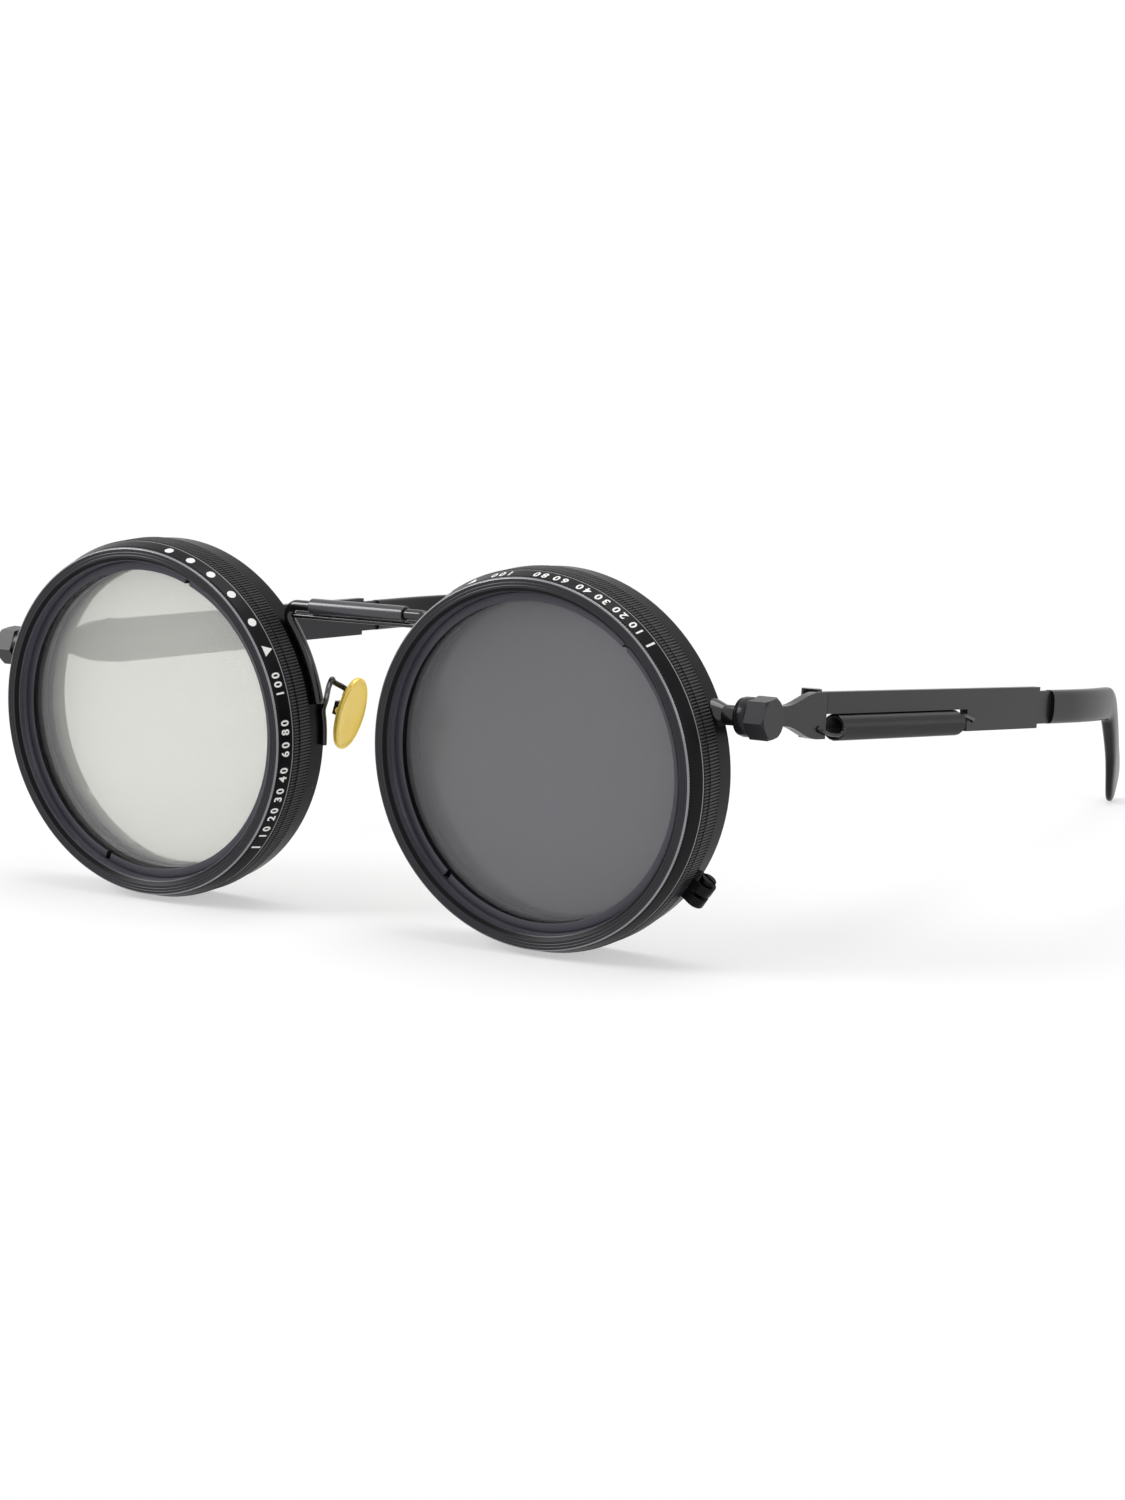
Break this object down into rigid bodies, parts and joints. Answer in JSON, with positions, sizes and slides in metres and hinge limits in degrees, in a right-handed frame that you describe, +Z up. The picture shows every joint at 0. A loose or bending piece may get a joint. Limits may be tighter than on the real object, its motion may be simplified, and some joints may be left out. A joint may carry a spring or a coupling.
{
  "type": "sunglasses",
  "caption": "Round metal sunglasses with turning filter lenses, coil spring temple hinges and hex bolt pivots that let the front flip up.",
  "frame": {"origin": "on the ground, midway between the sides and midway from the lens fronts to the temple tips", "axes": "+X to the right as seen from the front, +Y back along the temples, +Z up; the lenses face -Y"},
  "size_m": [0.1376, 0.1446, 0.054],
  "materials": {
    "bridge_bar": "black satin",
    "bridge_sleeve": "black satin",
    "bridge_wire": "black satin",
    "left_eyewire": "black satin",
    "left_rim_screw": "black",
    "left_stub": "black satin",
    "left_base_ring": "black anodised",
    "left_rear_glass": "neutral polariser",
    "left_rear_retainer": "black anodised",
    "left_slide_ring": "bright",
    "left_front_ring": "black anodised",
    "left_front_glass": "neutral polariser",
    "left_front_retainer": "black anodised",
    "left_hex_bolt": "black satin",
    "left_washer": "dark",
    "left_hinge_plate": "black satin",
    "left_hinge_screw": "black",
    "left_temple_bar": "black satin",
    "left_spring": "black",
    "left_temple_tip": "smooth black",
    "left_pad_arm": "black",
    "left_pad_box": "black",
    "left_pad_screw": "gold",
    "left_nose_pad": "gold",
    "right_eyewire": "black satin",
    "right_rim_screw": "black",
    "right_stub": "black satin",
    "right_base_ring": "black anodised",
    "right_rear_glass": "neutral polariser",
    "right_rear_retainer": "black anodised",
    "right_slide_ring": "bright",
    "right_front_ring": "black anodised",
    "right_front_glass": "neutral polariser",
    "right_front_retainer": "black anodised",
    "right_hex_bolt": "black satin",
    "right_washer": "dark",
    "right_hinge_plate": "black satin",
    "right_hinge_screw": "black",
    "right_temple_bar": "black satin",
    "right_spring": "black",
    "right_temple_tip": "smooth black",
    "right_pad_arm": "black",
    "right_pad_box": "black",
    "right_pad_screw": "gold",
    "right_nose_pad": "gold"
  },
  "bodies": {
    "front": {"bridge_bar": "bridge_bar", "bridge_sleeve": "bridge_sleeve", "bridge_wire": "bridge_wire", "left_eyewire": "left_eyewire", "left_rim_screw": "left_rim_screw", "left_stub": "left_stub", "left_base_ring": "left_base_ring", "left_rear_glass": "left_rear_glass", "left_rear_retainer": "left_rear_retainer", "left_slide_ring": "left_slide_ring", "left_hex_bolt": "left_hex_bolt", "left_washer": "left_washer", "left_pad_arm": "left_pad_arm", "left_pad_box": "left_pad_box", "left_pad_screw": "left_pad_screw", "right_eyewire": "right_eyewire", "right_rim_screw": "right_rim_screw", "right_stub": "right_stub", "right_base_ring": "right_base_ring", "right_rear_glass": "right_rear_glass", "right_rear_retainer": "right_rear_retainer", "right_slide_ring": "right_slide_ring", "right_hex_bolt": "right_hex_bolt", "right_washer": "right_washer", "right_pad_arm": "right_pad_arm", "right_pad_box": "right_pad_box", "right_pad_screw": "right_pad_screw"},
    "left_filter": {"left_front_ring": "left_front_ring", "left_front_glass": "left_front_glass", "left_front_retainer": "left_front_retainer"},
    "left_hinge": {"left_hinge_plate": "left_hinge_plate", "left_hinge_screw": "left_hinge_screw", "left_spring": "left_spring"},
    "left_temple": {"left_temple_bar": "left_temple_bar", "left_temple_tip": "left_temple_tip"},
    "left_pad": {"left_nose_pad": "left_nose_pad"},
    "right_filter": {"right_front_ring": "right_front_ring", "right_front_glass": "right_front_glass", "right_front_retainer": "right_front_retainer"},
    "right_hinge": {"right_hinge_plate": "right_hinge_plate", "right_hinge_screw": "right_hinge_screw", "right_spring": "right_spring"},
    "right_temple": {"right_temple_bar": "right_temple_bar", "right_temple_tip": "right_temple_tip"},
    "right_pad": {"right_nose_pad": "right_nose_pad"}
  },
  "joints": [
    {"name": "left_filter_turn", "type": "hinge", "parent": "front", "child": "left_filter", "pos_m": [-0.0348, -0.0723, 0.027], "axis": [0, -1, 0], "range_deg": [0, 90]},
    {"name": "left_arm_tilt", "type": "hinge", "parent": "front", "child": "left_hinge", "pos_m": [-0.0657, -0.06303, 0.03495], "axis": [1, 0, 0], "range_deg": [0, 70]},
    {"name": "left_temple_fold", "type": "hinge", "parent": "left_hinge", "child": "left_temple", "pos_m": [-0.0629, -0.04289, 0.0334], "axis": [0, -0.0767, -0.9971], "range_deg": [0, 90], "deforming": ["left_spring"]},
    {"name": "left_pad_rock", "type": "hinge", "parent": "front", "child": "left_pad", "pos_m": [-0.00911, -0.05603, 0.02853], "axis": [-0.0337, 0.9903, -0.135], "range_deg": [-12, 12]},
    {"name": "right_filter_turn", "type": "hinge", "parent": "front", "child": "right_filter", "pos_m": [0.0348, -0.0723, 0.027], "axis": [0, -1, 0], "range_deg": [-90, 0]},
    {"name": "right_arm_tilt", "type": "hinge", "parent": "front", "child": "right_hinge", "pos_m": [0.0657, -0.06303, 0.03495], "axis": [1, 0, 0], "range_deg": [0, 70]},
    {"name": "right_temple_fold", "type": "hinge", "parent": "right_hinge", "child": "right_temple", "pos_m": [0.0629, -0.04302, 0.03221], "axis": [0, 0.1357, 0.9907], "range_deg": [0, 84], "deforming": ["right_spring"]},
    {"name": "right_pad_rock", "type": "hinge", "parent": "front", "child": "right_pad", "pos_m": [0.00911, -0.05603, 0.02853], "axis": [0.0337, 0.9903, -0.135], "range_deg": [-12, 12]}
  ]
}
